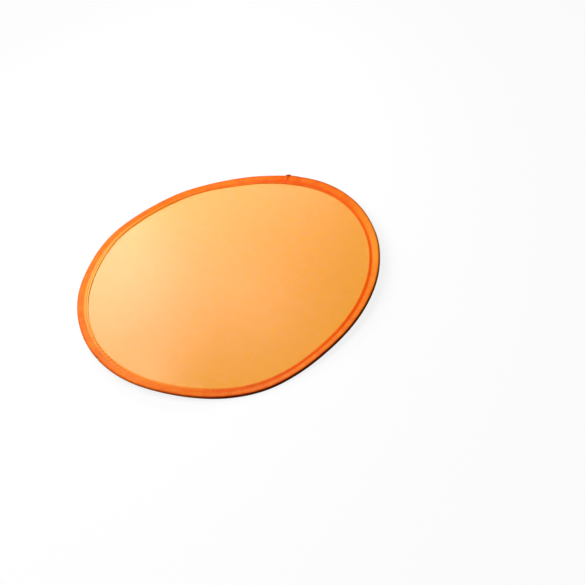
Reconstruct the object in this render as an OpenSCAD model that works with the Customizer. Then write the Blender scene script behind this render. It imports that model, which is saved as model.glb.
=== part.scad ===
// Folding fabric flying disc: a round nylon panel held open by a spring wire hoop
// inside a sewn rim tape. The disc keeps a slight bend from being folded in half.
// The fold line runs along Y, and the disc stands on the two low ends of that line.
// Each piece that crosses the fold line is two solids, one on each side of it.

/* [Disc] */
// Outside diameter of the open disc
disc_d = 245; // [200:1:300]
// Height of the two side edges above the fold line
bend_rise = 9; // [4:0.5:14]
// Half width of the rounded valley along the fold line
bend_soft = 50; // [30:1:80]
// Length of each foot along X, from the fold line to where the rim lifts off
foot_l = 10; // [6:0.5:11]
// Width of the flat that the rim stands on
foot_w = 1.2; // [0.8:0.1:1.6]

/* [Panel] */
// Thickness of the panel cloth
panel_t = 0.3; // [0.2:0.05:0.5]
// Distance from the panel's edge to where the hem opens round the wire
panel_edge_gap = 0.3; // [0.1:0.1:1]

/* [Rim tape] */
// Width of the hem, from the rim's outer edge to the tape's free edges
hem_w = 8.8; // [8:0.1:12]
// Width of the flat flange along the hem's inner edge
flange_w = 3.3; // [2.5:0.1:4]
// Thickness of the tape
tape_t = 0.4; // [0.35:0.05:0.6]
// Angle of the middle of the tape's folded-over end, from +X
lap_angle = 56; // [20:1:70]
// Length of the folded-over end along the rim
lap_l = 12; // [8:1:20]

/* [Wire hoop] */
// Diameter of the spring wire
wire_d = 1.2; // [0.8:0.1:1.5]
// Length of the crimp sleeve that joins the wire's ends
sleeve_l = 16; // [10:1:24]
// Wall of the crimp sleeve
sleeve_wall = 0.35; // [0.25:0.05:0.5]
// Space between the wire's two ends inside the sleeve
butt_gap = 0.1; // [0.05:0.05:1]

/* [Stitching] */
// Diameter of the sewing thread
thread_d = 0.35; // [0.25:0.05:0.6]
// Distance from the flange's inner edge to the row of stitches
stitch_inset = 1.5; // [0.6:0.1:2]
// Length over which a thread climbs onto the folded-over end
thread_ramp = 3; // [2:0.5:6]

/* [Fits] */
// Space between the two sides along the fold line
fold_gap = 0.4; // [0.3:0.1:1]
// Space between sewn layers, and round the wire
fit_gap = 0.05; // [0.04:0.01:0.08]
// Space round the sleeve inside the hem
channel_room = 0.1; // [0.1:0.05:0.5]

/* [Hidden] */
// Largest angle between two rings along the rim
ring_step = 5;
// Steps in each stretch of the hem's nose: upper inside, upper outside, lower outside,
// and the outer and inner parts of the foot's flat
section_counts = [1, 4, 3, 1, 1];
// Sides of a thread, of the wire and of the sleeve
thread_sides = 6;
wire_sides = 8;
sleeve_sides = 16;

wire_r = wire_d / 2;
sleeve_bore_r = wire_r + fit_gap;
sleeve_r = sleeve_bore_r + sleeve_wall;

// The hem's round nose: its inside clears the sleeve, and the tape goes round that
channel_r = sleeve_r + channel_room;
nose_r = channel_r + tape_t;

disc_r = disc_d / 2;
nose_pitch_r = disc_r - nose_r;
flange_inner_r = disc_r - hem_w;

// The hem tapers from its nose to this radius, and is flat from there inwards
neck_r = flange_inner_r + flange_w;
panel_r = neck_r - panel_edge_gap;

// Half heights of the flange: its inner faces on the panel, and its outer faces
flange_in_h = panel_t / 2 + fit_gap;
flange_h = flange_in_h + tape_t;

// The folded-over end lies on the outside of the tape
lap_lift = fit_gap + tape_t;
lap_half = lap_l / 2 / nose_pitch_r * 180 / PI;
lap_from = lap_angle - lap_half;
lap_to = lap_angle + lap_half;

// A straight facet lies this far inside its arc at most
facet_sag = disc_r * (1 - cos(ring_step / 2));
wire_pitch_r = nose_pitch_r + channel_r - sleeve_r - fit_gap - facet_sag;
sleeve_half = sleeve_l / 2 / wire_pitch_r * 180 / PI;
butt_half = butt_gap / 2 / wire_pitch_r * 180 / PI;

thread_r = thread_d / 2;
stitch_r = flange_inner_r + stitch_inset;
ramp_angle = thread_ramp / stitch_r * 180 / PI;

// Height of the panel's middle above the floor, at the fold line
foot_half_angle = asin(foot_w / 2 / nose_r);
bend_span = sqrt(pow(disc_r, 2) + pow(bend_soft, 2)) - bend_soft;
foot_sink = nose_r * (1 - cos(foot_half_angle)) + bend(foot_l);
panel_h = nose_r - foot_sink;
foot_angle = acos(foot_l / nose_pitch_r);

// Rings along the rim, as angles from one end of the fold line to the other
half_stops = [-90, 0, 90];
plain_tape_stops = [-90, -foot_angle, 0, foot_angle, 90];
lapped_tape_stops = [-90, -foot_angle, 0, lap_from, lap_angle, lap_to, foot_angle, 90];
lapped_thread_stops = [-90, 0, lap_from - ramp_angle, lap_from, lap_to, lap_to + ramp_angle, 90];
lap_stops = [lap_from, lap_angle, lap_to];
sleeve_stops = [lap_angle - sleeve_half, lap_angle, lap_angle + sleeve_half];
long_wire_stops = [-90, 0, lap_angle - sleeve_half, lap_angle - butt_half];
short_wire_stops = [lap_angle + butt_half, lap_angle + sleeve_half, 90];

// Height that the bend adds at a distance x from the fold line
function bend(x) = bend_rise * (sqrt(pow(x, 2) + pow(bend_soft, 2)) - bend_soft) / bend_span;

// A point of the right side: radius, angle and height over the panel's middle.
// It keeps clear of the fold line and lies on the floor where it would be lower.
function settled(r, a, h) =
    let (x = max(fold_gap / 2, r * cos(a)))
    [x, r * sin(a), max(0, panel_h + h + bend(x))];

// The stops, each stretch between two of them cut into its count of equal steps
function filled(stops, counts) =
    concat([for (i = [0 : len(counts) - 1], k = [0 : counts[i] - 1])
                stops[i] + (stops[i + 1] - stops[i]) * k / counts[i]],
           [stops[len(stops) - 1]]);

// The stops, with steps between them no larger than ring_step
function spaced(stops) =
    filled(stops, [for (i = [0 : len(stops) - 2]) ceil(abs(stops[i + 1] - stops[i]) / ring_step)]);

// One face of a folded strip, as [radius, height] points: along the upper flange at half
// height h, up to the nose of radius r, round it and back along the lower flange
function strip_face(r, h) =
    let (taper = [nose_pitch_r - neck_r, h],
         end_a = 180 - atan(taper[1] / taper[0]) - acos(r / norm(taper)),
         arc = filled([end_a, 90, 0, foot_half_angle - 90, -90, -end_a], section_counts))
    concat([[flange_inner_r, h], [neck_r, h]],
           [for (a = arc) [nose_pitch_r + r * cos(a), r * sin(a)]],
           [[neck_r, -h], [flange_inner_r, -h]]);

// A folded strip between its outer face and its inner face
function strip_section(out_r, out_h, in_r, in_h) =
    let (inner = strip_face(in_r, in_h))
    concat(strip_face(out_r, out_h), [for (i = [len(inner) - 1 : -1 : 0]) inner[i]]);

// A round section at a radius and height
function round_section(r, h, radius, sides) =
    [for (k = [0 : sides - 1])
        let (a = -360 * k / sides)
        [r + radius * cos(a), h + radius * sin(a)]];

// Faces of the strip between ring i and ring i + 1 of a grid with size points a ring
function ring_faces(i, j, size, last_i) =
    let (next_i = (i + 1) % (last_i + 1),
         next_j = (j + 1) % size,
         a = i * size + j,
         b = i * size + next_j,
         c = next_i * size + j,
         d = next_i * size + next_j)
    [[a, c, d], [a, d, b]];

// Triangles that fill a ring of size points by steps from its first and last points inwards,
// as a folded strip, a round or a rectangle needs
function cap_faces(size) =
    [for (i = [0 : size / 2 - 2])
        let (low = i, next = i + 1, far = size - 2 - i, high = size - 1 - i)
        each [[low, next, far], [low, far, high]]];

// A solid through rings of points, closed by a flat face at each end
module swept(rings) {
    size = len(rings[0]);
    last = len(rings) - 1;
    sides = [for (i = [0 : last - 1], j = [0 : size - 1]) each ring_faces(i, j, size, last)];
    start_cap = cap_faces(size);
    end_cap = [for (f = start_cap) [for (k = [2 : -1 : 0]) last * size + f[k]]];
    polyhedron([for (ring = rings) each ring], concat(start_cap, end_cap, sides));
}

// A tube wall: rings out along the outside and back along the inside
module swept_wall(rings) {
    size = len(rings[0]);
    last = len(rings) - 1;
    sides = [for (i = [0 : last], j = [0 : size - 1]) each ring_faces(i, j, size, last)];
    polyhedron([for (ring = rings) each ring], sides);
}

// One section carried round the rim
module rim_run(section, stops) {
    swept([for (a = spaced(stops)) [for (p = section) settled(p[0], a, p[1])]]);
}

// Half of the panel, in strips across the fold line's direction
module panel_half() {
    angles = spaced([90, 0]);
    rows = [for (i = [0 : len(angles) - 2])
                let (a = angles[i])
                [settled(panel_r, -a, -panel_t / 2), settled(panel_r, a, -panel_t / 2),
                 settled(panel_r, a, panel_t / 2), settled(panel_r, -a, panel_t / 2)]];
    swept(rows);
}

// A thread along the stitch row, on the upper side (1) or the lower side (-1)
module thread_run(stops, side) {
    swept([for (a = spaced(stops))
        let (over_lap = a >= lap_from && a <= lap_to && stops == lapped_thread_stops,
             h = flange_h + fit_gap + thread_r + (over_lap ? lap_lift : 0))
        [for (p = round_section(stitch_r, side * h, thread_r, thread_sides))
            settled(p[0], a, p[1])]]);
}

module tape_run(stops) {
    rim_run(strip_section(nose_r, flange_h, channel_r, flange_in_h), stops);
}

module wire_run(stops) {
    rim_run(round_section(wire_pitch_r, 0, wire_r, wire_sides), stops);
}

module panel_right() { color("SandyBrown") panel_half(); }

module panel_left() { color("SandyBrown") mirror([1, 0, 0]) panel_half(); }

module tape_right() { color("DarkOrange") tape_run(lapped_tape_stops); }

module tape_left() { color("DarkOrange") mirror([1, 0, 0]) tape_run(plain_tape_stops); }

module tape_end_fold() {
    inner_r = nose_r + fit_gap;
    inner_h = flange_h + fit_gap;
    color("OrangeRed")
        rim_run(strip_section(inner_r + tape_t, inner_h + tape_t, inner_r, inner_h),
                lap_stops);
}

module wire_right() {
    color("SlateGray") {
        wire_run(long_wire_stops);
        wire_run(short_wire_stops);
    }
}

module wire_left() { color("SlateGray") mirror([1, 0, 0]) wire_run(half_stops); }

module wire_sleeve() {
    outer = round_section(wire_pitch_r, 0, sleeve_r, sleeve_sides);
    bore = round_section(wire_pitch_r, 0, sleeve_bore_r, sleeve_sides);
    last = len(sleeve_stops) - 1;
    out_rings = [for (a = sleeve_stops) [for (p = outer) settled(p[0], a, p[1])]];
    back_rings = [for (i = [last : -1 : 0]) [for (p = bore) settled(p[0], sleeve_stops[i], p[1])]];
    color("Goldenrod") swept_wall(concat(out_rings, back_rings));
}

module needle_thread_right() { color("Peru") thread_run(lapped_thread_stops, 1); }

module needle_thread_left() { color("Peru") mirror([1, 0, 0]) thread_run(half_stops, 1); }

module bobbin_thread_right() { color("Sienna") thread_run(lapped_thread_stops, -1); }

module bobbin_thread_left() { color("Sienna") mirror([1, 0, 0]) thread_run(half_stops, -1); }

panel_left();
panel_right();
tape_left();
tape_right();
tape_end_fold();
wire_left();
wire_right();
wire_sleeve();
needle_thread_left();
needle_thread_right();
bobbin_thread_left();
bobbin_thread_right();
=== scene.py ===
# Folding fabric flying disc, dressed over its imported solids
import math
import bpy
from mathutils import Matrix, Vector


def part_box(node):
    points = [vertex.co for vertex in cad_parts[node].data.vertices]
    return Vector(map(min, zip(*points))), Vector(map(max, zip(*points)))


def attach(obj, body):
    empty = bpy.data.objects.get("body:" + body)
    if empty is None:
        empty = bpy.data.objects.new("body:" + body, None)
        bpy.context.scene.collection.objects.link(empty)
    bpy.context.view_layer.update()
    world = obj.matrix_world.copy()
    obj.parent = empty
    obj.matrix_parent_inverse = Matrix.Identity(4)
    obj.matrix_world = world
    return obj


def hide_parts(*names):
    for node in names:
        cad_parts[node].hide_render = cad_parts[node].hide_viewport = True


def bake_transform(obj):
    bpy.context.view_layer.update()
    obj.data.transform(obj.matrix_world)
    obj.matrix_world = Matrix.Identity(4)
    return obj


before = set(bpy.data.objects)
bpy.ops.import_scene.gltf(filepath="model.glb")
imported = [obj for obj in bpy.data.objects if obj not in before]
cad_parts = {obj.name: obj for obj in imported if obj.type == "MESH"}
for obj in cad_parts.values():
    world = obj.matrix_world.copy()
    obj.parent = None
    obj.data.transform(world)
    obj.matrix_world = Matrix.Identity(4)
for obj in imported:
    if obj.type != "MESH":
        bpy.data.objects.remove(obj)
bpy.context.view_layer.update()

from types import SimpleNamespace

import bpy
import numpy as np
from bpy.props import FloatProperty, FloatVectorProperty, IntProperty, PointerProperty
from mathutils import Matrix, Vector

bl_info = {
    "name": "Folding flying disc",
    "version": (1, 0, 0),
    "blender": (4, 5, 0),
    "location": "View3D > Sidebar > Disc",
    "description": "Dresses the packed solids of a folding fabric flying disc",
    "category": "Object",
}

MM = 0.001
TURN = 2 * math.pi
WHITE = (1.0, 1.0, 1.0, 1.0)

# Corners of the solids that sizes come from, in metres
TAPE_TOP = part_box("tape_right")[1]
PANEL_LOW, PANEL_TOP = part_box("panel_right")
NEEDLE_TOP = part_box("needle_thread_right")[1]
WIRE_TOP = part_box("wire_right")[1]

# The body that some pieces are attached to
RIGHT = "right_half"


def length(name, description, value):
    """A length setting in metres."""
    return FloatProperty(name=name, description=description, default=value, unit="LENGTH", precision=5)


def turn(name, description, degrees):
    """An angle setting, given in degrees."""
    value = math.radians(degrees)
    return FloatProperty(
        name=name, description=description, default=value, subtype="ANGLE", unit="ROTATION"
    )


def colour(name, description, value):
    """A linear colour setting."""
    return FloatVectorProperty(
        name=name, description=description, default=value, subtype="COLOR", size=3, min=0, max=1
    )


class DiscSizes(bpy.types.PropertyGroup):
    """Sizes of the disc's pieces."""

    disc_d: length("Disc diameter", "Outside diameter over the rim", 2 * TAPE_TOP.y)
    bend_rise: length("Bend rise", "Height of the side edges above the fold line", 9 * MM)
    bend_soft: length("Bend softness", "Width of the rounded bottom of the bend", 50 * MM)
    panel_d: length("Panel diameter", "Diameter the panel is cut to", 2 * PANEL_TOP.y)
    panel_t: length("Panel thickness", "Thickness of the coated nylon", 0.3 * MM)
    nose_d: length("Nose thickness", "Thickness of the hem over the hoop", 3 * MM)
    hem_w: length("Hem width", "From the rim's outer edge to the tape's free edges", 8.8 * MM)
    flange_w: length("Flange width", "Flat part of the hem along its inner edge", 3.3 * MM)
    tape_t: length("Tape thickness", "Thickness of the woven tape", 0.4 * MM)
    layer_gap: length("Layer gap", "Room between two sewn layers", 0.05 * MM)
    lap_angle: turn("Lap angle", "Direction of the lapped tape end, from the right", 56)
    lap_l: length("Lap length", "Length of tape that laps over its start", 12 * MM)
    wire_d: length("Wire diameter", "Thickness of the spring wire", 1.2 * MM)
    sleeve_l: length("Sleeve length", "Length of the crimped sleeve", 16 * MM)
    sleeve_wall: length("Sleeve wall", "Wall of the crimped sleeve", 0.35 * MM)
    thread_d: length("Thread diameter", "Thickness of the sewing thread", 0.35 * MM)
    stitches: IntProperty(name="Stitches", description="Stitches round the rim", default=256, min=3)
    gather_h: length("Gather height", "How far the tape's free edge stands off the panel", 0.2 * MM)
    puff_h: length("Puff height", "How far the tape bulges between stitches and hoop", 0.35 * MM)
    groove_h: length("Groove depth", "How deep the stitches pull the tape down", 0.33 * MM)
    lap_tip: length("Lap tip", "How far the lap's folded corner stands out of the rim", 0.85 * MM)


class DiscColours(bpy.types.PropertyGroup):
    """Colours of the disc's materials."""

    panel: colour("Panel", "Dyed nylon of the panel", (0.84, 0.306, 0.001))
    tape: colour("Rim tape", "Dyed tape of the rim", (0.9, 0.158, 0.002))
    lap: colour("Lapped tape", "Double tape of the lap, deeper in colour", (0.8, 0.1, 0.002))
    # The stitch groove colour is painted shade in the groove and the creases
    groove: colour("Stitch groove", "Tape pulled deep by the stitches", (0.85, 0.06, 0.001))
    # A painted shadow line along the tape's free edge
    edge_shadow: colour("Selvage", "Free edge of the tape where it lies flat", (0.5, 0.17, 0.02))
    # Painted shade under the near outer edge, on the far outer edge, in the snag and at the lap's tip
    rim_shade: colour("Soiled edge", "Soiled outer edge of the tape", (0.15, 0.01, 0.001))
    thread: colour("Thread", "Sewing thread", (0.8, 0.07, 0.001))
    wire: colour("Wire", "Drawn spring steel", (0.52, 0.53, 0.55))
    sleeve: colour("Sleeve", "Crimped brass", (0.72, 0.55, 0.25))


class DiscStage(bpy.types.PropertyGroup):
    """Camera, light and floor."""

    elevation: turn("Elevation", "Camera height above the horizon", 44.65)
    azimuth: turn("Azimuth", "Camera turn about the disc", 1.8)
    roll: turn("Roll", "Tilt of the picture", 17.09)
    distance: length("Distance", "Camera distance from the disc", 1.1)
    aside: length("Aside", "Place of the disc to the right in the picture", -46.25 * MM)
    above: length("Above", "Place of the disc upwards in the picture", 23.77 * MM)
    lens: FloatProperty(
        name="Lens", description="Focal length", default=84.89, subtype="DISTANCE_CAMERA"
    )
    floor: colour("Floor", "Floor as the disc sees it", (0.05, 0.05, 0.05))
    sky: colour("Sky", "Room light from all round", (0.06, 0.06, 0.06))


class Signal:
    """An output socket of a node graph: arithmetic on it adds Math nodes."""

    def __init__(self, graph, socket):
        self.graph = graph
        self.socket = socket

    def other(self, name):
        """Another output of the same node."""
        return Signal(self.graph, find_socket(self.socket.node.outputs, name))

    def maths(self, operation, *values):
        """A Math node on this value and the ones given."""
        inputs = dict(enumerate((self, *values)))
        return self.graph.node("ShaderNodeMath", {"operation": operation}, inputs)

    def __add__(self, value):
        return self.maths("ADD", value)

    def __sub__(self, value):
        return self.maths("SUBTRACT", value)

    def __rsub__(self, value):
        return self.graph.node("ShaderNodeMath", {"operation": "SUBTRACT"}, {0: value, 1: self})

    def __mul__(self, value):
        return self.maths("MULTIPLY", value)

    __radd__ = __add__
    __rmul__ = __mul__


def find_socket(sockets, key):
    """The socket with that place or identifier."""
    if isinstance(key, int):
        return sockets[key]
    return next(socket for socket in sockets if socket.identifier == key)


class Graph:
    """A node tree and the one way that nodes are added to it."""

    def __init__(self, tree):
        self.tree = tree

    def node(self, kind, settings=None, sockets=None, output=0):
        """Adds a node, sets it, fills or links its inputs and returns one output."""
        made = self.tree.nodes.new(kind)
        for key, value in (settings or {}).items():
            setattr(made, key, value)
        for key, value in (sockets or {}).items():
            target = find_socket(made.inputs, key)
            if isinstance(value, Signal):
                self.tree.links.new(value.socket, target)
            else:
                target.default_value = value
        return Signal(self, find_socket(made.outputs, output)) if made.outputs else None

    def mix(self, factor, first, second):
        """A colour between two colours."""
        sockets = {"Factor_Float": factor, "A_Color": first, "B_Color": second}
        return self.node("ShaderNodeMix", {"data_type": "RGBA"}, sockets, "Result_Color")

    def noise(self, vector, cell, detail=2.0):
        """Noise whose cells have the size given along each axis, in metres."""
        scale = tuple(1 / side for side in cell)
        spread = self.node("ShaderNodeVectorMath", {"operation": "MULTIPLY"}, {0: vector, 1: scale})
        return self.node("ShaderNodeTexNoise", {}, {"Vector": spread, "Scale": 1.0, "Detail": detail})

    def bump(self, height, strength, depth):
        """A surface raised by a height times the depth given, in metres."""
        sockets = {"Strength": strength, "Distance": depth, "Height": height}
        return self.node("ShaderNodeBump", {}, sockets)

    def mark(self, name):
        """The number that a mesh keeps under that name."""
        return self.node("ShaderNodeAttribute", {"attribute_name": name}, {}, "Fac")

    def finish(self, sockets):
        """Ends a material in one Principled shader."""
        shader = self.node("ShaderNodeBsdfPrincipled", {}, sockets)
        self.node("ShaderNodeOutputMaterial", {}, {"Surface": shader})


def new_material(name):
    """An empty material and its graph."""
    made = bpy.data.materials.new(name)
    made.use_nodes = True
    made.node_tree.nodes.clear()
    return made, Graph(made.node_tree)


def opaque(rgb, gain=1.0):
    """A colour setting with its brightness scaled, as a node colour."""
    return tuple(min(1.0, part * gain) for part in rgb) + (1.0,)


def shades(rgb, spread=0.38):
    """The darker and the lighter tone of an orange dye: its green changes most."""
    red, green, blue = rgb
    return [
        (min(1.0, red * gain**0.25), green * gain, blue * gain, 1.0)
        for gain in (1 - spread, 1 + spread)
    ]


def plain_weave(graph, cloth, warp_pitch, weft_pitch):
    """Height of a plain weave, from 0 to 1, on cloth coordinates in metres."""
    across = graph.node("ShaderNodeSeparateXYZ", {}, {"Vector": cloth}, "X")
    along = across.other("Y")
    warp = (across * (math.pi / warp_pitch)).maths("SINE")
    weft = (along * (math.pi / weft_pitch)).maths("SINE")
    warp_up = (warp * weft).maths("GREATER_THAN", 0.0)
    warp_h = warp.maths("ABSOLUTE")
    weft_h = weft.maths("ABSOLUTE")
    crest = warp_up * warp_h * (0.5 + 0.5 * weft_h)
    return crest + (1 - warp_up) * weft_h * (0.5 + 0.5 * warp_h)


# Depth of a noise cell on flat cloth, where it makes no difference
NO_DEPTH = 1.0
# The panel's cloth: pitch of its yarns, width and length of a slub, sizes of a patch of dye and of a
# rubbed patch, and depth of its weave
PANEL_YARN = 0.4 * MM
SLUB_W = 0.9 * MM
SLUB_L = 60 * MM
DYE_PATCH = 26 * MM
RUBBED_PATCH = 7 * MM
PANEL_RELIEF = 0.06 * MM


def panel_nylon():
    """Thin dyed nylon with a soft coated sheen."""
    made, graph = new_material("panel_nylon")
    dye = bpy.context.scene.disc_colours.panel
    cloth = graph.node("ShaderNodeUVMap", {"uv_map": "cloth"})
    weave = plain_weave(graph, cloth, PANEL_YARN, PANEL_YARN)
    slub_x = graph.noise(cloth, (SLUB_W, SLUB_L, NO_DEPTH))
    slub_y = graph.noise(cloth, (SLUB_L, SLUB_W, NO_DEPTH))
    dye_patch = graph.noise(cloth, (DYE_PATCH, DYE_PATCH, NO_DEPTH), 3.0)
    rubbed_and_sheen = graph.noise(cloth, (RUBBED_PATCH, RUBBED_PATCH, NO_DEPTH), 4.0)
    tone = 0.35 * weave + 0.35 * (slub_x + slub_y) + 0.4 * dye_patch - 0.2
    height = 0.7 * weave + 0.25 * (slub_x + slub_y)
    bump = graph.bump(height, 0.25, PANEL_RELIEF)
    graph.finish(
        {
            "Base Color": graph.mix(tone, opaque(dye, 0.94), opaque(dye, 1.06)),
            "Roughness": 0.26 + 0.06 * rubbed_and_sheen - 0.04 * weave,
            "Specular IOR Level": 0.375,
            "Normal": bump,
        }
    )
    return made


# The tape: pitch of its warp and weft, width and length of a fibre, sizes of patches and mottling,
# how far the pleats drift, their pitch, and depth of its weave
TAPE_WARP = 0.55 * MM
TAPE_WEFT = 0.4 * MM
FIBRE_W = 0.7 * MM
FIBRE_L = 9 * MM
TAPE_PATCH = 8 * MM
TAPE_MOTTLE = 2.5 * MM
PLEAT_DRIFT = 14 * MM
PLEAT_PITCH = 1.9 * MM
TAPE_RELIEF = 0.09 * MM
TAPE_MARKS = ("painted_sheen", "crease_shade", "rubbed_and_sheen", "rim_shade_mask", "pleated", "edge_shadow", "lapped")


def woven_tape():
    """Narrow woven tape: painted sheen where it lies flat, painted shade at the stitches, creases and
    outer edge, a painted shadow line at its free edge, and pleats.
    """
    made, graph = new_material("woven_tape")
    colours = bpy.context.scene.disc_colours
    cloth = graph.node("ShaderNodeUVMap", {"uv_map": "cloth"})
    place = graph.node("ShaderNodeTexCoord", {}, {}, "Object")
    painted_sheen, crease_shade, rubbed_and_sheen, rim_shade_mask, pleated, edge_shadow, lapped = (graph.mark(name) for name in TAPE_MARKS)
    weave = plain_weave(graph, cloth, TAPE_WARP, TAPE_WEFT)
    fibre = graph.noise(cloth, (FIBRE_W, FIBRE_L, NO_DEPTH))
    patch = graph.noise(place, (TAPE_PATCH,) * 3, 4.0)
    mottle = graph.noise(place, (TAPE_MOTTLE,) * 3)
    drift = graph.noise(place, (PLEAT_DRIFT,) * 3)
    along = graph.node("ShaderNodeSeparateXYZ", {}, {"Vector": cloth}, "X")
    pleat = ((along * (1 / PLEAT_PITCH) + 2.5 * drift) * TURN).maths("SINE") * 0.5 + 0.5
    tone = 0.35 * weave + 0.25 * fibre + 1.4 * patch + 0.9 * mottle - 1.0
    # The pleats' valleys get painted shade and their crests a painted highlight
    tone = tone + pleated * (1.3 * pleat - 0.65)
    base = graph.mix(tone, *shades(colours.tape))
    double = graph.mix(tone, *shades(colours.lap))
    base = graph.mix(lapped, base, double)
    # Painted sheen on the flat strip and on the upper slope
    base = graph.mix(painted_sheen, base, opaque(colours.panel, 1.2))
    # Rubbed crown, partly real wear and partly a painted highlight
    base = graph.mix(0.5 * rubbed_and_sheen * patch, base, opaque(colours.panel))
    # Painted shade in the stitch groove and the creases
    base = graph.mix(crease_shade, base, opaque(colours.groove))
    # Painted shadow line along the free edge
    base = graph.mix(0.8 * edge_shadow, base, opaque(colours.edge_shadow))
    # Painted shade under the near outer edge, on the far outer edge, in the snag and at the lap's tip
    base = graph.mix(0.95 * rim_shade_mask, base, opaque(colours.rim_shade))
    height = 0.75 * weave + 0.3 * fibre + 1.6 * pleated * pleat
    bump = graph.bump(height, 0.45, TAPE_RELIEF)
    graph.finish(
        {
            "Base Color": base,
            "Roughness": 0.44 + 0.12 * patch - 0.08 * weave - 0.06 * rubbed_and_sheen,
            "Specular IOR Level": 0.0,
            "Coat Weight": (0.16 + 0.3 * painted_sheen) * (1 - crease_shade) * (1 - rim_shade_mask),
            "Coat Roughness": 0.33,
            "Normal": bump,
        }
    )
    return made


# The thread: turns of its twist in one stitch, its plies, and depth of the grooves between them
TWIST_TURNS = 5
PLIES = 2
PLY_RELIEF = 0.06 * MM


def twisted_thread():
    """Sewing thread of plies twisted round each other."""
    made, graph = new_material("twisted_thread")
    dye = bpy.context.scene.disc_colours.thread
    twist = graph.mark("along") * TWIST_TURNS + graph.mark("around") * PLIES
    ply = (twist * TURN).maths("SINE") * 0.5 + 0.5
    bump = graph.bump(ply, 0.6, PLY_RELIEF)
    graph.finish(
        {
            "Base Color": graph.mix(ply, opaque(dye, 0.7), opaque(dye, 1.15)),
            "Roughness": 0.6 - 0.15 * ply,
            "Specular IOR Level": 0.04,
            "Normal": bump,
        }
    )
    return made


# The metals: length and width of a drawing line on the wire, and tarnish, grain and its depth on
# the sleeve
LINE_L = 1.5 * MM
LINE_W = 0.08 * MM
TARNISH = 2.5 * MM
GRAIN = 0.12 * MM
GRAIN_RELIEF = 0.02 * MM


def spring_steel():
    """Drawn steel wire with fine lines along it."""
    made, graph = new_material("spring_steel")
    metal = bpy.context.scene.disc_colours.wire
    place = graph.node("ShaderNodeTexCoord", {}, {}, "Object")
    scratch = graph.noise(place, (LINE_L, LINE_L, LINE_W), 3.0)
    graph.finish(
        {
            "Base Color": graph.mix(scratch, opaque(metal, 0.8), opaque(metal, 1.1)),
            "Metallic": 1.0,
            "Roughness": 0.25 + 0.2 * scratch,
        }
    )
    return made


def crimped_brass():
    """Brass tube marked by the crimping pliers."""
    made, graph = new_material("crimped_brass")
    metal = bpy.context.scene.disc_colours.sleeve
    place = graph.node("ShaderNodeTexCoord", {}, {}, "Object")
    tarnish = graph.noise(place, (TARNISH,) * 3, 4.0)
    grain = graph.noise(place, (GRAIN,) * 3)
    bump = graph.bump(grain, 0.2, GRAIN_RELIEF)
    graph.finish(
        {
            "Base Color": graph.mix(tarnish, opaque(metal, 0.7), opaque(metal, 1.1)),
            "Metallic": 1.0,
            "Roughness": 0.3 + 0.25 * tarnish,
            "Normal": bump,
        }
    )
    return made


def disc_shape():
    """The disc's derived radii and heights, in metres; heights are from the panel's middle."""
    sizes = bpy.context.scene.disc_sizes
    disc_r = sizes.disc_d / 2
    nose_r = sizes.nose_d / 2
    pitch_r = disc_r - nose_r
    edge_r = disc_r - sizes.hem_w
    neck_r = edge_r + sizes.flange_w
    flange_h = sizes.panel_t / 2 + sizes.layer_gap + sizes.tape_t
    taper = math.hypot(pitch_r - neck_r, flange_h)
    return SimpleNamespace(
        sizes=sizes,
        disc_r=disc_r,
        nose_r=nose_r,
        pitch_r=pitch_r,
        panel_r=sizes.panel_d / 2,
        panel_h=PANEL_LOW.z + sizes.panel_t / 2,
        flange_h=flange_h,
        edge_r=edge_r,
        neck_r=neck_r,
        nose_angle=math.pi - math.asin(flange_h / taper) - math.acos(nose_r / taper),
        stitch_r=NEEDLE_TOP.y - sizes.thread_d / 2,
        wire_r=WIRE_TOP.y - sizes.wire_d / 2,
        bend_span=math.hypot(disc_r, sizes.bend_soft) - sizes.bend_soft,
        lap_end=sizes.lap_angle + (sizes.lap_l / 2 - LAP_BACK) / pitch_r,
    )


# Places round the rim, each a direction and half-width in degrees and how much it adds there:
# where the sprung hoop lies high, and where it bows out or in
RIM_HEIGHTS = ((238, 20, 2.0 * MM),)
RIM_BOWS = (
    (65, 20, -2.0 * MM),
    (100, 10, 1.0 * MM),
    (135, 10, 0.7 * MM),
    (155, 10, -0.6 * MM),
    (240, 20, -1.5 * MM),
    (275, 10, 0.9 * MM),
    (300, 10, -0.7 * MM),
    (335, 20, 1.8 * MM),
    (355, 10, 0.4 * MM),
)
# Where the hem is narrow or wide
EDGE_SHIFTS = (
    (5, 35, 0.9 * MM),
    (50, 20, -1.3 * MM),
    (80, 10, -1.2 * MM),
    (90, 15, 1.2 * MM),
    (125, 20, 0.8 * MM),
    (160, 10, -0.4 * MM),
    (200, 10, 0.6 * MM),
    (250, 20, -0.8 * MM),
)
# A snag in the rim's outer edge, darkened by painted shade, and how deep it is
SNAG = ((205, 0.5, 1.0),)
SNAG_H = 0.5 * MM
# Where the tape is gathered most, where fine pleats run across it, and creases beside the lap
GATHERED = ((64, 5, 0.7), (121, 8, 0.7), (222, 28, 0.5))
PLEATED = ((64, 7, 0.8), (115, 18, 0.8), (215, 25, 0.4))
CREASES = ((57.0, 0.35, 1.0), (58.1, 0.35, 0.7))
# Where the tape lies flat and gets painted sheen, and where a painted shadow line shows along its free
# edge
FLAT_STRETCH = ((172, 62, 1.0),)
EDGE_SHADOW_STRETCH = ((165, 38, 1.0),)
# Where dashes break the painted sheen strip, how many would go all round, and the width over which they
# lean by one radian of their wave
DASHED_STRETCH = ((212, 18, 1.0),)
DASHES = 170
DASH_SLANT = 1.5 * MM
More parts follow.
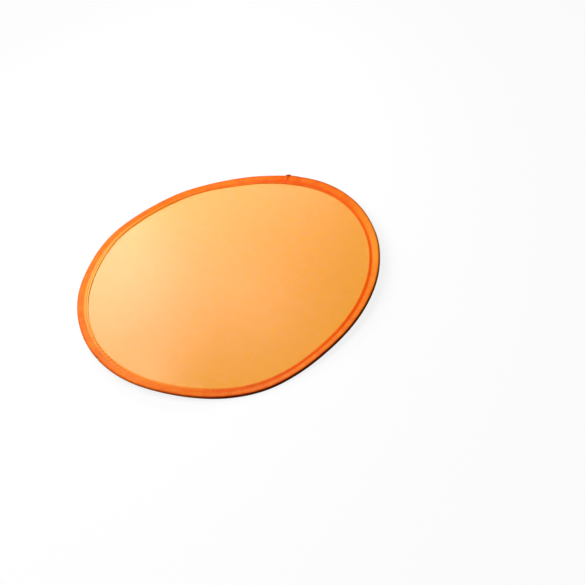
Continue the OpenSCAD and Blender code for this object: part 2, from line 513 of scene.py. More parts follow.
# Where the upper slope gets painted sheen, where the tape is darker, where painted shade lies in the
# stitch groove, where painted shade lies under its outer edge, and where painted shade darkens the far
# outer edge
SLOPE_SHEEN_STRETCH = ((352, 17, 0.5),)
DARK_STRETCH = ((55, 30, 1.0), (115, 20, 0.65), (265, 25, 0.7))
GROOVE_SHADE_STRETCH = ((315, 65, 1.0),)
UNDER_SHADE_STRETCH = ((295, 50, 1.0),)
FAR_EDGE_SHADE_STRETCH = ((70, 60, 0.5),)


def bumps(angle, places):
    """Smooth bumps at those places round the rim."""
    total = 0.0
    for direction, half_width, amount in places:
        off = (angle - math.radians(direction) + math.pi) % TURN - math.pi
        total = total + amount * np.exp(-((off / math.radians(half_width)) ** 2))
    return total


# How steeply the rim's bows and heights fade towards the disc's middle
RIM_FADE = 5


def settled(shape, radius, angle, height):
    """Points of the resting disc, bent along its fold line and flat where it touches the floor."""
    outer = (radius / shape.disc_r) ** RIM_FADE
    bowed = radius + bumps(angle, RIM_BOWS) * outer
    x = bowed * np.cos(angle)
    y = bowed * np.sin(angle)
    soft = shape.sizes.bend_soft
    rise = shape.sizes.bend_rise * (np.hypot(x, soft) - soft) / shape.bend_span
    wave = bumps(angle, RIM_HEIGHTS) * outer
    z = np.maximum(0.0, shape.panel_h + height + rise + wave)
    return np.stack(np.broadcast_arrays(x, y, z), axis=-1)


def waver(angle, counts, seed):
    """A smooth closed wave round the rim, about -1 to 1, the same on each run."""
    starts = np.random.default_rng(seed).uniform(0, TURN, len(counts))
    total = sum(np.sin(count * angle + start) for count, start in zip(counts, starts))
    return total / math.sqrt(len(counts))


def smooth_step(value):
    """0 below 0, 1 above 1 and an even ramp between."""
    held = np.clip(value, 0, 1)
    return held * held * (3 - 2 * held)


def gathers(shape, angle, seed):
    """Small folds where the straight tape is eased round the curve, from 0 to a little over 1."""
    drift = 1.8 * waver(angle, (3, 5, 8, 13, 21), seed)
    fold = 0.5 + 0.5 * np.sin(shape.sizes.stitches / 2 * angle + drift)
    strength = 0.45 + 0.4 * waver(angle, (2, 4, 7, 11, 17), seed + 1) + bumps(angle, GATHERED)
    return fold * np.clip(strength, 0.12, 1.3)


def hem_height(shape, radius, angle, seed, lining=False):
    """Height of one side of the hem: gathered free edge, stitch groove and taper up to the nose."""
    sizes = shape.sizes
    wall = sizes.tape_t if lining else 0.0
    nose_r = shape.nose_r - wall
    fold = gathers(shape, angle, seed)
    foot_r = shape.pitch_r + nose_r * math.cos(shape.nose_angle)
    rise = np.clip((radius - shape.neck_r) / (foot_r - shape.neck_r), 0, 1)
    free = np.clip((shape.stitch_r - radius) / (shape.stitch_r - shape.edge_r), 0, 1)
    held = np.clip((radius - shape.stitch_r) / (foot_r - shape.stitch_r), 0, 1)
    low = shape.flange_h - wall
    flat = bumps(angle, FLAT_STRETCH)
    base = low + (nose_r * math.sin(shape.nose_angle) - low) * rise
    puff = sizes.puff_h * (1 - 0.5 * flat) * (0.55 + 0.45 * fold) * np.sin(math.pi * held**0.5)
    lift = sizes.gather_h * (0.2 + 0.8 * fold) * free + puff
    if lining:
        return base + lift
    pulled = (1 - 0.7 * flat) * (0.7 + 0.3 * np.cos(sizes.stitches * angle))
    groove = sizes.groove_h * pulled * np.exp(-(((radius - shape.stitch_r) / GROOVE_HALF) ** 2))
    crease = CREASE_H * bumps(angle, CREASES) * np.sin(math.pi * held**0.7)
    return base + lift - groove - crease


# Places across the flange, one of them at the stitches, places up the taper and points round the
# nose, first for the tape's outside and then for its inside
FLANGE_SHARES = np.array((0.0, 0.12, 0.28, 0.39, 0.4545, 0.52, 0.64, 0.82))
TAPER_SHARES = np.array((0.0, 0.25, 0.5, 0.75))
NOSE_POINTS = 13
LINING_SHARES = np.array((0.0, 0.45, 0.9))
LINING_TAPER = np.array((0.4,))
LINING_POINTS = 7
# Half-width of the stitch groove, depth of a crease, how far the nose and the free edges waver and
# the gathers draw the edges in, and the seeds of the waves
GROOVE_HALF = 0.5 * MM
CREASE_H = 0.3 * MM
NOSE_WAVER = 0.05 * MM
EDGE_WAVER = 0.08 * MM
GATHER_IN = 0.12 * MM
UPPER_SEED = 11
LOWER_SEED = 23
NOSE_SEED = 31
HEIGHT_SEED = 37
EDGE_SEED = 5


def tape_face(shape, angle, lining=False):
    """Radius and height across the tape, upper free edge to lower free edge, at each angle."""
    flange, taper, points = FLANGE_SHARES, TAPER_SHARES, NOSE_POINTS
    if lining:
        flange, taper, points = LINING_SHARES, LINING_TAPER, LINING_POINTS
    angle = angle[:, None]
    nose_r = shape.nose_r - (shape.sizes.tape_t if lining else 0.0)
    bow = np.linspace(shape.nose_angle, -shape.nose_angle, points)
    wide = nose_r + NOSE_WAVER * waver(angle, (3, 7, 12, 19), NOSE_SEED) - SNAG_H * bumps(angle, SNAG)
    high = nose_r * (0.97 + 0.03 * waver(angle, (4, 6, 11, 23), HEIGHT_SEED))
    bow_r = shape.pitch_r + wide * np.cos(bow)
    bow_h = high * np.sin(bow)
    wander = EDGE_WAVER * waver(angle, (2, 3, 5, 9, 14), EDGE_SEED)
    edge = shape.edge_r + wander + bumps(angle, EDGE_SHIFTS)
    legs = []
    for seed, end in ((UPPER_SEED, 0), (LOWER_SEED, -1)):
        start = edge - GATHER_IN * gathers(shape, angle, seed)
        flat = start + flange * (shape.neck_r - start)
        slope = shape.neck_r + taper * (bow_r[:, end, None] - shape.neck_r)
        radius = np.hstack((flat, slope))
        legs.append((radius, hem_height(shape, radius, angle, seed, lining)))
    radius = np.hstack((legs[0][0], bow_r, legs[1][0][:, ::-1]))
    height = np.hstack((legs[0][1], bow_h, -legs[1][1][:, ::-1]))
    return radius, height


# The lapped end: how long it is with its slow rise, in lap lengths, how far its end lies short of the
# solid's, the slant of its end, the width of its folded corner at the nose, half the width of the
# corner's tip, the widths of a crease and of the blunt end, how deep its root is sunk in the tape,
# the room under it, and its least thickness
LAP_SPAN = 1.5
LAP_BACK = 5.0 * MM
LAP_SLANT = 2.6 * MM
CORNER_W = 5.2 * MM
TIP_HALF = 1.4 * MM
CREASE_W = 0.5 * MM
BLUNT_W = 0.4 * MM
LAP_SUNK = 0.12 * MM
LAP_CLEAR = 0.02 * MM
LAP_LEAST = 0.02 * MM


def lap_growth(shape, before):
    """How far the lap has come out of the strip at a distance before its end, from 0 to 1."""
    return smooth_step(LAP_SPAN - before / shape.sizes.lap_l)


def lap_thickness(shape, before, share):
    """Thickness of the lap at a distance before its end; share goes from the free edge to the nose."""
    grow = lap_growth(shape, before)
    corner = smooth_step((CORNER_W * share - before) / CREASE_W + 0.5)
    blunt = np.sqrt(np.clip(before / BLUNT_W, 0.1, 1))
    pressed = 0.35 + 0.65 * smooth_step(3 * share)
    return np.where(before < 0, 0.0, shape.sizes.tape_t * (grow + 0.9 * corner) * blunt * pressed)


def swept_mesh(name, points, cloth, closed, caps=()):
    """A closed mesh from rings of points; cloth gives the corners' places on the flat cloth."""
    rings, count = points.shape[:2]
    index = np.arange(rings * count).reshape(rings, count)
    grid = np.pad(index, ((0, 1), (0, 1)), mode="wrap")
    steps = rings if closed else rings - 1
    corners = ((0, 0), (1, 0), (1, 1), (0, 1))
    sides = [(slice(i, i + steps), slice(j, j + count)) for i, j in corners]
    faces = np.stack([grid[side] for side in sides], axis=-1).reshape(-1, 4)
    flat = np.stack([cloth[side] for side in sides], axis=-2).reshape(-1, 4, 2)
    for ring, way in ((0, 1), (rings - 1, -1)):
        if len(caps):
            ladder = np.array(caps)[:, ::way]
            faces = np.vstack((faces, index[ring][ladder]))
            flat = np.vstack((flat, cloth[ring][ladder]))
    return quad_mesh(name, points.reshape(-1, 3), faces, flat)


def quad_mesh(name, points, faces, flat):
    """An object of smooth quads that face outwards, with the UV map called cloth."""
    a, b, c, d = (points[faces[:, corner]] for corner in range(4))
    volume = np.einsum("ij,ij->", a, np.cross(b, c)) + np.einsum("ij,ij->", a, np.cross(c, d))
    if volume < 0:
        faces = faces[:, ::-1]
        flat = flat[:, ::-1]
    mesh = bpy.data.meshes.new(name)
    mesh.from_pydata(points.tolist(), [], faces.tolist())
    mesh.uv_layers.new(name="cloth").data.foreach_set("uv", flat.astype(np.float32).ravel())
    mesh.shade_smooth()
    return add_object(name, mesh)


def add_object(name, data):
    """Links a new object to the scene."""
    made = bpy.data.objects.new(name, data)
    bpy.context.scene.collection.objects.link(made)
    return made


# Marks on the tape, outwards from the stitches: reach and fade of the painted sheen strip, middle and
# half-width of the groove's painted shade, fades of the slope at its two ends, half-width of the rubbed
# crown with its painted highlight, fade at the nose, and width of the painted shadow line at the free
# edge
PALE_REACH = 2.4 * MM
PALE_FADE = 2 * MM
GROOVE_MIDDLE = 0.8 * MM
GROOVE_SPREAD = 0.8 * MM
SLOPE_START = 1 * MM
SLOPE_END = 2 * MM
CROWN_HALF = 1.4 * MM
NOSE_FADE = 0.6 * MM
EDGE_SHADOW_W = 0.9 * MM
# Marks by height: fade of the upper side, and top and fade of the lower part that gets painted shade
UPPER_FADE = 0.5 * MM
SHADE_TOP = 1.55 * MM
SHADE_FADE = 0.5 * MM


def mark_hem(made, shape, radius, height, angle, folds, lapped=0.0, tip_shade=0.0):
    """Marks how far each point of the hem has painted sheen, painted shade in the groove and creases,
    rubbed wear with a painted highlight, painted shade at its outer edge, pleats, a painted shadow
    line, or a lapped layer.
    """
    past = radius - shape.stitch_r
    inner = smooth_step((PALE_REACH - past) / PALE_FADE)
    groove = np.exp(-(((past - GROOVE_MIDDLE) / GROOVE_SPREAD) ** 4))
    slope = smooth_step(past / SLOPE_START) * smooth_step((shape.disc_r - radius) / SLOPE_END)
    crown = radius - (shape.stitch_r + shape.disc_r) / 2
    outer = smooth_step((radius - shape.pitch_r) / NOSE_FADE)
    free = smooth_step(1 - (radius - radius.min(axis=1, keepdims=True)) / EDGE_SHADOW_W)
    upper = smooth_step(height / UPPER_FADE)
    under = smooth_step((SHADE_TOP - height) / SHADE_FADE)
    flat = np.minimum(1, 1.25 * bumps(angle, FLAT_STRETCH))
    dash = bumps(angle, DASHED_STRETCH) * (0.5 + 0.5 * np.cos(DASHES * angle + past / DASH_SLANT))
    # Painted shade under the near outer edge, then on the far outer edge and in the snag
    rim_shade = under * np.minimum(1, 1.6 * bumps(angle, UNDER_SHADE_STRETCH))
    rim_shade = np.minimum(1, rim_shade + bumps(angle, FAR_EDGE_SHADE_STRETCH) + 0.6 * bumps(angle, SNAG))
    marks = {
        # Painted sheen on the flat stretch and on the upper slope at the right
        "painted_sheen": np.maximum(inner * flat * (1 - dash), slope * upper * bumps(angle, SLOPE_SHEEN_STRETCH)),
        # Painted shade in the stitch groove on the near side and in the creases
        "crease_shade": np.maximum(groove * bumps(angle, GROOVE_SHADE_STRETCH), slope * folds),
        # The crown: partly rubbed wear, partly a painted highlight
        "rubbed_and_sheen": upper * np.exp(-((crown / CROWN_HALF) ** 2)),
        "rim_shade_mask": np.maximum(outer * rim_shade, tip_shade),
        "pleated": slope * (0.3 + bumps(angle, PLEATED)),
        # Painted shadow line along the free edge
        "edge_shadow": free * bumps(angle, EDGE_SHADOW_STRETCH),
        "lapped": np.maximum(lapped, bumps(angle, DARK_STRETCH)),
    }
    for name, value in marks.items():
        mark = made.data.attributes.new(name, "FLOAT", "POINT")
        spread = np.broadcast_to(value, radius.shape)
        mark.data.foreach_set("value", spread.astype(np.float32).ravel())


def cloth_map(radius, height, angle, pitch_r):
    """Places of a swept strip's points on the flat strip: along the rim, then across it."""
    ring_r = np.append(radius[0], radius[0][:1])
    ring_h = np.append(height[0], height[0][:1])
    across = np.concatenate(((0.0,), np.cumsum(np.hypot(np.diff(ring_r), np.diff(ring_h)))))
    return np.stack(np.meshgrid(angle * pitch_r, across, indexing="ij"), axis=-1)


def across_fold(made, slot, *nodes):
    """Hides the named solids and keeps the piece's transform in its mesh."""
    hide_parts(*nodes)
    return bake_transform(made)


# The panel's cells each way, and a reach too small to matter
PANEL_CELLS = 160
TINY = 1e-9
# Its puckers' height and how far they reach in from the hem, the strip that the hem holds level, and
# the height and wave lengths of its slight slack
PUCKER_H = 0.1 * MM
PUCKER_REACH = 9 * MM
HELD_W = 6 * MM
SLACK_H = 0.025 * MM
SLACK_X = 17 * MM
SLACK_Y = 21 * MM
SLACK_BEND = 29 * MM


def round_grid(cells):
    """Reach, from 0 to 1, and angle of a square grid drawn out to a round one without a pole."""
    ends = np.linspace(-1, 1, cells + 1)
    u, v = np.meshgrid(ends, ends, indexing="ij")
    reach = np.maximum(np.abs(u), np.abs(v))
    sideways = np.abs(u) >= np.abs(v)
    straight = np.where(sideways, v * np.sign(u), -u * np.sign(v))
    side = np.where(sideways, np.where(u >= 0, 0, 4), np.where(v >= 0, 2, 6))
    eighths = side + straight / np.maximum(reach, TINY)
    return reach, np.where(reach > 0, eighths * math.pi / 4, 0.0)


def panel_lift(shape, radius, angle, x, y):
    """How far puckers at the hem and a slight slack lift the taut panel."""
    near_hem = np.exp(-(shape.edge_r - np.minimum(radius, shape.edge_r)) / PUCKER_REACH)
    pucker = PUCKER_H * near_hem * (gathers(shape, angle, UPPER_SEED) - 0.4)
    slack = np.sin(x / SLACK_X + 1.3 * np.sin(y / SLACK_BEND)) + np.sin(y / SLACK_Y - 0.7)
    inside = smooth_step((shape.edge_r - radius) / HELD_W)
    return pucker * inside + SLACK_H * inside * slack


class DISC_OT_panel(bpy.types.Operator):
    """Makes the taut round panel"""

    bl_idname = "disc.make_panel"
    bl_label = "Panel"

    def execute(self, context):
        shape = disc_shape()
        reach, angle = round_grid(PANEL_CELLS)
        radius = reach * shape.panel_r
        x = radius * np.cos(angle)
        y = radius * np.sin(angle)
        lift = panel_lift(shape, radius, angle, x, y)
        half = shape.sizes.panel_t / 2
        top = settled(shape, radius, angle, lift + half).reshape(-1, 3)
        low = settled(shape, radius, angle, lift - half).reshape(-1, 3)
        flat = np.stack((x, y), axis=-1).reshape(-1, 2)
        index = np.arange(radius.size).reshape(radius.shape)
        quads = (index[:-1, :-1], index[1:, :-1], index[1:, 1:], index[:-1, 1:])
        cells = np.stack(quads, -1).reshape(-1, 4)
        rim = np.concatenate((index[:-1, 0], index[-1, :-1], index[:0:-1, -1], index[0, :0:-1]))
        ahead = np.roll(rim, -1)
        below = radius.size
        wall = np.stack((ahead, rim, rim + below, ahead + below), -1)
        faces = np.vstack((cells, cells[:, ::-1] + below, wall))
        corners = np.vstack((flat, flat))[faces]
        made = quad_mesh("disc_panel", np.vstack((top, low)), faces, corners)
        made.data.materials.append(panel_nylon())
        across_fold(made, "panel_cloth", "panel_left", "panel_right")
        return {"FINISHED"}


# Rings of the tape for each stitch, and how far its cut edges round out
RINGS_PER_STITCH = 5
LIP_W = 0.12 * MM


class DISC_OT_rim_tape(bpy.types.Operator):
    """Makes the tape folded round the hoop and the panel's edge"""

    bl_idname = "disc.make_rim_tape"
    bl_label = "Rim tape"

    def execute(self, context):
        shape = disc_shape()
        rings = shape.sizes.stitches * RINGS_PER_STITCH
        angle = np.linspace(0, TURN, rings + 1)
        ring = angle[:-1]
        out_r, out_h = tape_face(shape, ring)
        in_r, in_h = tape_face(shape, ring, lining=True)
        low_lip_r = out_r[:, -1:] - LIP_W
        low_lip_h = (out_h[:, -1:] + in_h[:, -1:]) / 2
        top_lip_r = out_r[:, :1] - LIP_W
        top_lip_h = (out_h[:, :1] + in_h[:, :1]) / 2
        radius = np.hstack((out_r, low_lip_r, in_r[:, ::-1], top_lip_r))
        height = np.hstack((out_h, low_lip_h, in_h[:, ::-1], top_lip_h))
        places = ring[:, None]
        points = settled(shape, radius, places, height)
        cloth = cloth_map(radius, height, angle, shape.pitch_r)
        made = swept_mesh("rim_tape", points, cloth, True)
        # The creases beside the lap get painted shade
        mark_hem(made, shape, radius, height, places, bumps(places, CREASES))
        made.data.materials.append(woven_tape())
        across_fold(made, "rim_tape", "tape_left", "tape_right")
        return {"FINISHED"}


LAP_RINGS = 56


def both_faces(outside):
    """Values on the lap's outside, and again on its inside on the way back."""
    return np.hstack((outside, outside[:, ::-1]))


class DISC_OT_tape_end(bpy.types.Operator):
    """Makes the tape's end, folded over and lapped on its start"""

    bl_idname = "disc.make_tape_end"
    bl_label = "Lapped tape end"

    def execute(self, context):
        shape = disc_shape()
        sizes = shape.sizes
        distance = np.linspace(LAP_SPAN * sizes.lap_l, 0, LAP_RINGS)
        ring = shape.lap_end - distance / shape.pitch_r
        before = distance[:, None]
        share = (tape_face(shape, ring[-1:])[0][0] - shape.edge_r) / sizes.hem_w
        angle = ring[:, None] - LAP_SLANT / shape.pitch_r * (1 - share)
        count = len(share)
        faces = [tape_face(shape, angle[:, column]) for column in range(count)]
        base_r = np.stack([face[0][:, column] for column, face in enumerate(faces)], axis=1)
        base_h = np.stack([face[1][:, column] for column, face in enumerate(faces)], axis=1)
        along_r = np.gradient(base_r, axis=1)
        along_h = np.gradient(base_h, axis=1)
        size = np.hypot(along_r, along_h)
        out_r = -along_h / size
        out_h = along_r / size
        growth = lap_growth(shape, before)
        under = LAP_CLEAR - LAP_SUNK * (1 - growth)
        over = under + np.maximum(LAP_LEAST, lap_thickness(shape, before, share))
        corner = np.exp(-(((before - CORNER_W / 2) / TIP_HALF) ** 2))
        tip = sizes.lap_tip * corner * share**10
        radius = np.hstack((base_r + over * out_r + tip, (base_r + under * out_r)[:, ::-1]))
        height = np.hstack((base_h + over * out_h, (base_h + under * out_h)[:, ::-1]))
        places = both_faces(angle)
        points = settled(shape, radius, places, height)
        cloth = cloth_map(radius, height, ring, shape.pitch_r)
        step = np.arange(count - 1)
        caps = np.stack((step, step + 1, 2 * count - 2 - step, 2 * count - 1 - step), axis=-1)
        made = swept_mesh("tape_end_lap", points, cloth, False, caps)
        # The lap's crease gets painted shade
        folds = both_faces(np.exp(-(((before - CORNER_W * share) / CREASE_W) ** 2)))
        # Painted shade at the lap's folded tip
        tip_shade = both_faces(np.minimum(0.9, 2 * corner * share**5))
        mark_hem(made, shape, radius, height, places, folds, smooth_step(3 * growth), tip_shade)
        made.data.materials.append(bpy.data.materials["woven_tape"])
        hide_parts("tape_end_fold")
        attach(made, RIGHT)
        return {"FINISHED"}


def path_object(name, points, closed):
    """A chain of edges for a node tree to follow."""
    count = len(points)
    links = [(i, (i + 1) % count) for i in range(count if closed else count - 1)]
    mesh = bpy.data.meshes.new(name)
    mesh.from_pydata(points.tolist(), links, [])
    return add_object(name, mesh)


def new_tree(name, inputs):
    """A geometry tree with the named inputs; returns its graph, its inputs and their identifiers."""
    tree = bpy.data.node_groups.new(name, "GeometryNodeTree")
    tree.interface.new_socket(name="Geometry", in_out="OUTPUT", socket_type="NodeSocketGeometry")
    names = {}
    for label, kind in (("Path", "NodeSocketGeometry"), *inputs):
        socket = tree.interface.new_socket(name=label, in_out="INPUT", socket_type=kind)
        names[label] = socket.identifier
    graph = Graph(tree)
    first = graph.node("NodeGroupInput")
    sockets = {label: first.other(key) for label, key in names.items()}
    return graph, sockets, names


def close_tree(graph, geometry, material):
    """Ends a geometry tree in real, smooth geometry with its material."""
    real = graph.node("GeometryNodeRealizeInstances", {}, {"Geometry": geometry})
    smooth = graph.node("GeometryNodeSetShadeSmooth", {}, {"Geometry": real})
    clad = graph.node("GeometryNodeSetMaterial", {}, {"Geometry": smooth, "Material": material})
    graph.node("NodeGroupOutput", {}, {0: clad})


def run_tree(made, graph, names, values):
    """Puts a tree on an object, sets its inputs and keeps the result as a plain mesh."""
    maker = made.modifiers.new(graph.tree.name, "NODES")
    maker.node_group = graph.tree
    for label, value in values.items():
        maker[names[label]] = value
    path = made.data
    scene_now = bpy.context.evaluated_depsgraph_get()
    made.data = bpy.data.meshes.new_from_object(made.evaluated_get(scene_now))
    made.modifiers.clear()
    bpy.data.meshes.remove(path)
    made.data.name = made.name


# A stitch: points along it and sides of its thread, its length as a share of the pitch, how high it
# arches, how far it may swing aside, and how far its middle lies out of the tape, in thread radii
STITCH_POINTS = 7
THREAD_SIDES = 6
STITCH_SHARE = 0.96
STITCH_ARCH = 0.22 * MM
STITCH_SWING = math.radians(2.5)
THREAD_OUT = 0.5


def stitch_tree():
    """Tree for a row of lockstitches along a path."""
    inputs = (
        ("Stitches", "NodeSocketInt"),
        ("Stitch length", "NodeSocketFloat"),
        ("Thread radius", "NodeSocketFloat"),
        ("Arch", "NodeSocketFloat"),
        ("Face turn", "NodeSocketFloat"),
        ("Unevenness", "NodeSocketFloat"),
        ("Seed", "NodeSocketInt"),
        ("Material", "NodeSocketMaterial"),
    )
    graph, given, names = new_tree("lockstitch_row", inputs)
    half = given["Stitch length"] * 0.5
    ends = [
        graph.node("ShaderNodeCombineXYZ", {}, {"X": half * way, "Z": given["Arch"] * rise})
        for way, rise in ((-1, -1), (0, 1), (1, -1))
    ]
    rail = graph.node(
        "GeometryNodeCurveQuadraticBezier",
        {},
        {"Resolution": STITCH_POINTS, "Start": ends[0], "Middle": ends[1], "End": ends[2]},
    )
    ring = graph.node(
        "GeometryNodeCurvePrimitiveCircle",
        {},
        {"Resolution": THREAD_SIDES, "Radius": given["Thread radius"]},
    )
    part = graph.node("GeometryNodeSplineParameter", {}, {}, "Factor")
    keep = "GeometryNodeStoreNamedAttribute"
    rail = graph.node(keep, {}, {"Geometry": rail, "Name": "along", "Value": part})
    ring = graph.node(keep, {}, {"Geometry": ring, "Name": "around", "Value": part})
    stitch = graph.node(
        "GeometryNodeCurveToMesh", {}, {"Curve": rail, "Profile Curve": ring, "Fill Caps": True}
    )
    path = graph.node("GeometryNodeMeshToCurve", {}, {"Mesh": given["Path"]})
    spots = graph.node("GeometryNodeResampleCurve", {}, {"Curve": path, "Count": given["Stitches"]})
    tangent = graph.node("GeometryNodeInputTangent")
    heading = graph.node("ShaderNodeSeparateXYZ", {}, {"Vector": tangent}, "X")
    swing = graph.node(
        "FunctionNodeRandomValue",
        {},
        {"Min_001": given["Unevenness"] * -1, "Max_001": given["Unevenness"], "Seed": given["Seed"]},
        "Value_001",
    )
    yaw = heading.other("Y").maths("ARCTAN2", heading) + swing
    pitch = heading.other("Z").maths("ARCSINE") * -1
    facing = graph.node("ShaderNodeCombineXYZ", {}, {"X": given["Face turn"], "Y": pitch, "Z": yaw})
    facing = graph.node("FunctionNodeEulerToRotation", {}, {"Euler": facing})
    row = graph.node(
        "GeometryNodeInstanceOnPoints", {}, {"Points": spots, "Instance": stitch, "Rotation": facing}
    )
    close_tree(graph, row, given["Material"])
    return graph, names


class DISC_OT_stitches(bpy.types.Operator):
    """Makes the row of lockstitches, above and below"""

    bl_idname = "disc.make_stitches"
    bl_label = "Stitches"

    def execute(self, context):
        shape = disc_shape()
        sizes = shape.sizes
        thread_r = sizes.thread_d / 2
        pitch = TURN * shape.stitch_r / sizes.stitches
        count = sizes.stitches * RINGS_PER_STITCH
        angle = (np.arange(count) / RINGS_PER_STITCH + 0.5) * TURN / sizes.stitches
        graph, names = stitch_tree()
        thread = twisted_thread()
        rows = (
            ("needle", 1, UPPER_SEED, 0.0),
            ("bobbin", -1, LOWER_SEED, math.pi),
        )
        share = (shape.stitch_r - shape.edge_r) / sizes.hem_w
        before = (shape.lap_end - angle) * shape.pitch_r - LAP_SLANT * (1 - share)
        lapped = lap_thickness(shape, before, share)
        for name, way, seed, face_turn in rows:
            seat = hem_height(shape, shape.stitch_r, angle, seed) + lapped
            points = settled(shape, shape.stitch_r, angle, way * (seat + THREAD_OUT * thread_r))
            made = path_object(name + "_stitches", points, True)
            values = {
                "Stitches": sizes.stitches,
                "Stitch length": STITCH_SHARE * pitch,
                "Thread radius": thread_r,
                "Arch": STITCH_ARCH,
                "Face turn": face_turn,
                "Unevenness": STITCH_SWING,
                "Seed": seed,
                "Material": thread,
            }
            run_tree(made, graph, names, values)
            across_fold(made, "thread", name + "_thread_left", name + "_thread_right")
        return {"FINISHED"}


def hoop_tree():
    """Tree for a round wire along a path."""
    inputs = (
        ("Wire radius", "NodeSocketFloat"),
        ("Sides", "NodeSocketInt"),
        ("Material", "NodeSocketMaterial"),
    )
    graph, given, names = new_tree("hoop_wire", inputs)
    path = graph.node("GeometryNodeMeshToCurve", {}, {"Mesh": given["Path"]})
    ring = graph.node(
        "GeometryNodeCurvePrimitiveCircle",
        {},
        {"Resolution": given["Sides"], "Radius": given["Wire radius"]},
    )
    wire = graph.node(
        "GeometryNodeCurveToMesh", {}, {"Curve": path, "Profile Curve": ring, "Fill Caps": True}
    )
    close_tree(graph, wire, given["Material"])
    return graph, names


# The hoop's points and sides, and half the gap between its ends
HOOP_POINTS = 480
HOOP_SIDES = 14
HALF_GAP = 0.05 * MM
# The sleeve's sides and rings; places and half-width of its crimps and length of its rounded ends, as
# shares of its length; how much a crimp flattens it, and how far the ends round off
SLEEVE_SIDES = 24
SLEEVE_RINGS = 41
CRIMPS = (-0.3, 0.3)
CRIMP_HALF = 0.07
END_SHARE = 0.012
CRIMP_DEPTH = 0.2
END_DROP = 0.1 * MM


class DISC_OT_hoop(bpy.types.Operator):
    """Makes the spring wire hoop and its crimped sleeve"""

    bl_idname = "disc.make_hoop"
    bl_label = "Hoop and sleeve"

    def execute(self, context):
        shape = disc_shape()
        self.make_wire(shape)
        self.make_sleeve(shape)
        return {"FINISHED"}

    def make_wire(self, shape):
        """The hoop, whose ends meet inside the sleeve."""
        half_gap = HALF_GAP / shape.wire_r
        angle = shape.sizes.lap_angle + np.linspace(half_gap, TURN - half_gap, HOOP_POINTS)
        hoop = path_object("hoop_wire", settled(shape, shape.wire_r, angle, 0.0), False)
        graph, names = hoop_tree()
        values = {
            "Wire radius": shape.sizes.wire_d / 2,
            "Sides": HOOP_SIDES,
            "Material": spring_steel(),
        }
        run_tree(hoop, graph, names, values)
        across_fold(hoop, "spring_wire", "wire_left", "wire_right")

    def make_sleeve(self, shape):
        """The tube pressed flat on the hoop's ends at its crimps."""
        sizes = shape.sizes
        bore_r = sizes.wire_d / 2 + sizes.layer_gap
        sleeve_r = bore_r + sizes.sleeve_wall
        place = np.linspace(-0.5, 0.5, SLEEVE_RINGS)
        around = np.linspace(0, TURN, SLEEVE_SIDES, endpoint=False)
        cosine = np.cos(around)
        sine = np.sin(around)
        dent = sum(np.exp(-(((place - crimp) / CRIMP_HALF) ** 2)) for crimp in CRIMPS)[:, None]
        end_round = np.clip((0.5 - np.abs(place)) / END_SHARE, 0.0, 1)[:, None]
        out_r = sleeve_r - END_DROP * (1 - end_round)
        flat = 1 - CRIMP_DEPTH * dent * cosine**2
        wide = np.stack((out_r * cosine * flat, out_r * sine), -1)
        bore = np.broadcast_to(bore_r * np.stack((cosine, sine), -1), wide.shape)
        tube = np.concatenate((wide, bore[::-1]))
        reach = np.concatenate((place, place[::-1])) * sizes.sleeve_l / shape.wire_r
        angle = sizes.lap_angle + reach[:, None]
        points = settled(shape, shape.wire_r + tube[..., 0], angle, tube[..., 1])
        rings = np.arange(len(points) + 1)
        cloth = np.stack(np.meshgrid(rings, np.arange(SLEEVE_SIDES + 1.0), indexing="ij"), axis=-1)
        sleeve = swept_mesh("crimp_sleeve", points, cloth, True)
        sleeve.data.materials.append(crimped_brass())
        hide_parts("wire_sleeve")
        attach(sleeve, RIGHT)


# Floor: how far it reaches each way and its level, in metres, and how much of it glows by itself
FLOOR_REACH = 4.0
FLOOR_LEVEL = -0.3 * MM
FLOOR_GLOW = 0.86
# Width of the camera's sensor in millimetres
SENSOR_W = 36.0
# Softboxes: name, place and size in metres, and power in watts
SOFTBOXES = (
    ("key_softbox", (-0.107, 0.245, 0.215), 0.15, 0.5),
    ("far_softbox", (-0.02, 0.65, 0.41), 0.15, 0.46),
    ("top_softbox", (-0.4, 0.0, 1.1), 1.0, 13.8),
)


def seen_rays(graph):
    """1 for the rays that show the background, 0 for those that light the disc."""
    rays = graph.node("ShaderNodeLightPath", {}, {}, "Is Camera Ray")
    shown = rays.maths("MAXIMUM", rays.other("Is Glossy Ray"))
    return shown.maths("MAXIMUM", rays.other("Is Transmission Ray"))


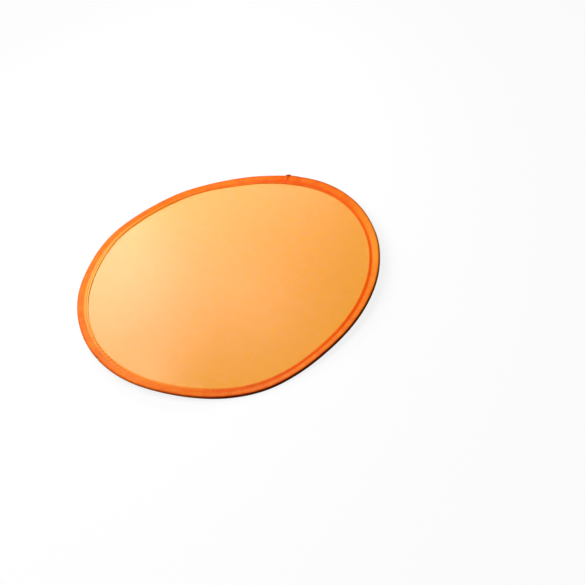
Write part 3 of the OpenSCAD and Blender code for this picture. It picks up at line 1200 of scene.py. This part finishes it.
class DISC_OT_stage(bpy.types.Operator):
    """Makes the floor, the soft light and the camera"""

    bl_idname = "disc.make_stage"
    bl_label = "Stage"

    def execute(self, context):
        scene = context.scene
        stage = scene.disc_stage
        scene.view_settings.view_transform = "Standard"
        self.make_floor(stage)
        self.make_light(scene, stage)
        self.make_camera(scene, stage)
        return {"FINISHED"}

    def make_floor(self, stage):
        """A wide pale floor, white in the picture, that keeps the disc's shadow."""
        corners = ((-1, -1), (1, -1), (1, 1), (-1, 1))
        spots = [(x * FLOOR_REACH, y * FLOOR_REACH, FLOOR_LEVEL) for x, y in corners]
        mesh = bpy.data.meshes.new("floor")
        mesh.from_pydata(spots, [], [(0, 1, 2, 3)])
        floor = add_object("floor", mesh)
        made, graph = new_material("pale_floor")
        shown = seen_rays(graph)
        tone = graph.mix(shown, opaque(stage.floor), WHITE)
        lit = graph.node("ShaderNodeBsdfDiffuse", {}, {"Color": tone})
        glow = graph.node("ShaderNodeEmission", {}, {"Color": WHITE, "Strength": 1.0})
        surface = graph.node("ShaderNodeMixShader", {}, {0: FLOOR_GLOW * shown, 1: lit, 2: glow})
        graph.node("ShaderNodeOutputMaterial", {}, {"Surface": surface})
        floor.data.materials.append(made)

    def make_light(self, scene, stage):
        """Soft light from all round and from the softboxes."""
        world = bpy.data.worlds.new("studio")
        scene.world = world
        world.use_nodes = True
        world.node_tree.nodes.clear()
        graph = Graph(world.node_tree)
        tone = graph.mix(seen_rays(graph), opaque(stage.sky), WHITE)
        sky = graph.node("ShaderNodeBackground", {}, {"Color": tone, "Strength": 1.0})
        graph.node("ShaderNodeOutputWorld", {}, {"Surface": sky})
        for name, place, size, power in SOFTBOXES:
            lamp = bpy.data.lights.new(name, "AREA")
            lamp.shape = "SQUARE"
            lamp.size = size
            lamp.energy = power
            box = add_object(name, lamp)
            box.location = place
            box.rotation_euler = (-Vector(place)).to_track_quat("-Z", "Y").to_euler()
            box.visible_camera = False

    def make_camera(self, scene, stage):
        """The camera at the picture's viewing angle."""
        sine = math.sin(stage.elevation)
        cosine = math.cos(stage.elevation)
        swing = Matrix.Rotation(stage.azimuth, 3, "Z")
        side = swing @ Vector((1, 0, 0))
        rise = swing @ Vector((0, sine, cosine))
        back = swing @ Vector((0, -cosine, sine))
        middle = Vector((0, 0, disc_shape().panel_h))
        right = math.cos(stage.roll) * side - math.sin(stage.roll) * rise
        upward = math.sin(stage.roll) * side + math.cos(stage.roll) * rise
        lens = bpy.data.cameras.new("camera")
        lens.lens = stage.lens
        lens.sensor_width = SENSOR_W
        camera = add_object("camera", lens)
        turned = Matrix((right, upward, back)).transposed().to_4x4()
        place = middle - stage.aside * side - stage.above * rise + stage.distance * back
        camera.matrix_world = Matrix.Translation(place) @ turned
        scene.camera = camera


class DISC_PT_pieces(bpy.types.Panel):
    """Lists the disc's makers and settings"""

    bl_idname = "DISC_PT_pieces"
    bl_label = "Flying disc"
    bl_space_type = "VIEW_3D"
    bl_region_type = "UI"
    bl_category = "Disc"

    def draw(self, context):
        for maker in MAKERS:
            self.layout.operator(maker.bl_idname)
        for name in SETTINGS:
            settings = getattr(context.scene, name)
            for key in type(settings).__annotations__:
                self.layout.prop(settings, key)


MAKERS = (
    DISC_OT_stage,
    DISC_OT_panel,
    DISC_OT_rim_tape,
    DISC_OT_tape_end,
    DISC_OT_stitches,
    DISC_OT_hoop,
)
SETTINGS = {
    "disc_sizes": DiscSizes,
    "disc_colours": DiscColours,
    "disc_stage": DiscStage,
}


def register():
    for name, settings in SETTINGS.items():
        bpy.utils.register_class(settings)
        setattr(bpy.types.Scene, name, PointerProperty(type=settings))
    for maker in (*MAKERS, DISC_PT_pieces):
        bpy.utils.register_class(maker)


def unregister():
    for maker in reversed((*MAKERS, DISC_PT_pieces)):
        bpy.utils.unregister_class(maker)
    for name, settings in SETTINGS.items():
        delattr(bpy.types.Scene, name)
        bpy.utils.unregister_class(settings)


def main():
    register()
    bpy.ops.disc.make_stage()
    bpy.ops.disc.make_panel()
    bpy.ops.disc.make_rim_tape()
    bpy.ops.disc.make_tape_end()
    bpy.ops.disc.make_stitches()
    bpy.ops.disc.make_hoop()


if __name__ == "__main__":
    main()
